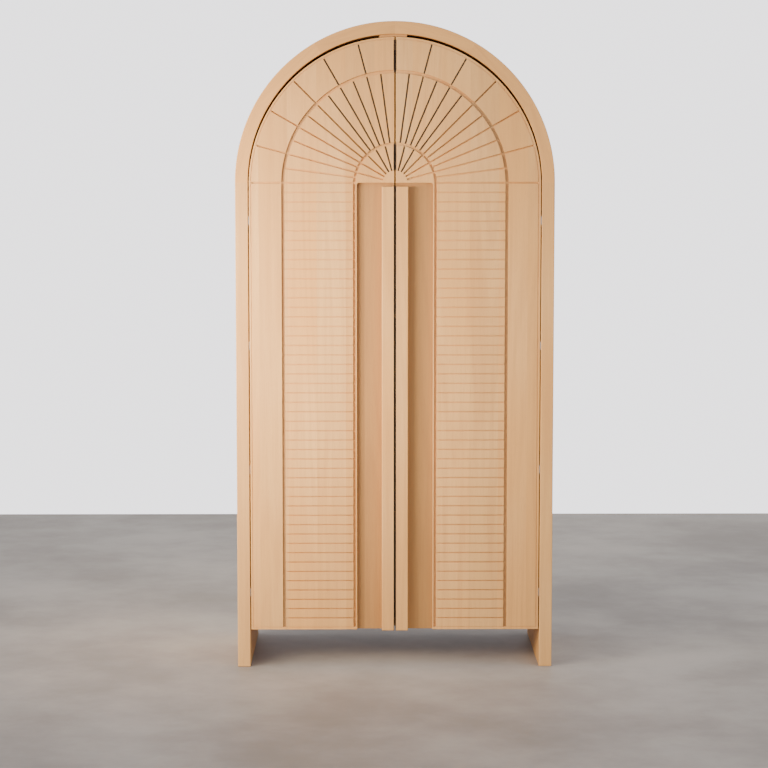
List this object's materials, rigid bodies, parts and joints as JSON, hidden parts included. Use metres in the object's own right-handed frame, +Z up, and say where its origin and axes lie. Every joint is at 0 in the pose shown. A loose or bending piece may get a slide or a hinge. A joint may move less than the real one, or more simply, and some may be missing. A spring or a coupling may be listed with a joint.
{
  "type": "arched wardrobe cabinet",
  "caption": "Tall arched cabinet in pale wood with a pair of doors carved with a sunburst over slats, full-height handles, inner shelves and concealed hinges.",
  "frame": {"origin": "on the floor under the middle of the whole piece, doors shut", "axes": "+X to the right seen from the front, +Y to the back, +Z up"},
  "size_m": [1.016, 0.527, 2.07],
  "materials": {
    "case_wood": "matt oiled pale oak, sides and arch",
    "door_wood": "matt oiled pale oak, edge-glued boards, carved",
    "channel_wood": "matt oiled oak, a little warmer",
    "handle_wood": "matt oiled pale oak with eased edges",
    "inner_wood": "matt oiled pale oak, inside",
    "hinge_metal": "satin nickel",
    "screw_steel": "zinc plated",
    "catch_steel": "nickel plated",
    "bumper_rubber": "matt",
    "glide_nylon": "matt nylon"
  },
  "bodies": {
    "case": {"left_side": "case_wood", "right_side": "case_wood", "arch_segment_1": "case_wood", "arch_segment_2": "case_wood", "arch_segment_3": "case_wood", "arch_segment_4": "case_wood", "arch_segment_5": "case_wood", "arch_segment_6": "case_wood", "arch_splines": "inner_wood", "bottom_panel": "inner_wood", "back_panel": "inner_wood", "back_screws": "screw_steel", "wall_rail": "inner_wood", "fixed_shelf": "inner_wood", "lower_shelf": "inner_wood", "middle_shelf": "inner_wood", "upper_shelf": "inner_wood", "shelf_pins": "catch_steel", "top_stop": "case_wood", "top_stop_screws": "screw_steel", "catch_magnets": "catch_steel", "door_bumpers": "bumper_rubber", "glides": "glide_nylon", "left_case_hinges": "hinge_metal", "right_case_hinges": "hinge_metal", "case_hinge_screws": "screw_steel"},
    "left_door": {"left_door_panel": "door_wood", "left_channel_board": "channel_wood", "left_handle": "handle_wood", "left_handle_screws": "screw_steel", "left_door_hinges": "hinge_metal", "left_door_hinge_screws": "screw_steel", "left_strike_plate": "catch_steel"},
    "left_links": {"left_hinge_links": "hinge_metal"},
    "right_door": {"right_door_panel": "door_wood", "right_channel_board": "channel_wood", "right_handle": "handle_wood", "right_handle_screws": "screw_steel", "right_door_hinges": "hinge_metal", "right_door_hinge_screws": "screw_steel", "right_strike_plate": "catch_steel"},
    "right_links": {"right_hinge_links": "hinge_metal"}
  },
  "joints": [
    {"name": "left_door_swing", "type": "hinge", "parent": "case", "child": "left_door", "pos_m": [-0.4655, -0.2435, 0.85], "axis": [0, 0, -1], "range_deg": [0, 110]},
    {"name": "right_door_swing", "type": "hinge", "parent": "case", "child": "right_door", "pos_m": [0.4655, -0.2435, 0.85], "axis": [0, 0, 1], "range_deg": [0, 110]},
    {"name": "left_link_swing", "type": "hinge", "parent": "case", "child": "left_links", "pos_m": [-0.4655, -0.2435, 0.85], "axis": [0, 0, -1], "range_deg": [0, 55]},
    {"name": "right_link_swing", "type": "hinge", "parent": "case", "child": "right_links", "pos_m": [0.4655, -0.2435, 0.85], "axis": [0, 0, 1], "range_deg": [0, 55]}
  ],
  "couplings": [
    {"joint": "left_link_swing", "follows": "left_door_swing", "ratio": 0.5},
    {"joint": "right_link_swing", "follows": "right_door_swing", "ratio": 0.5}
  ]
}
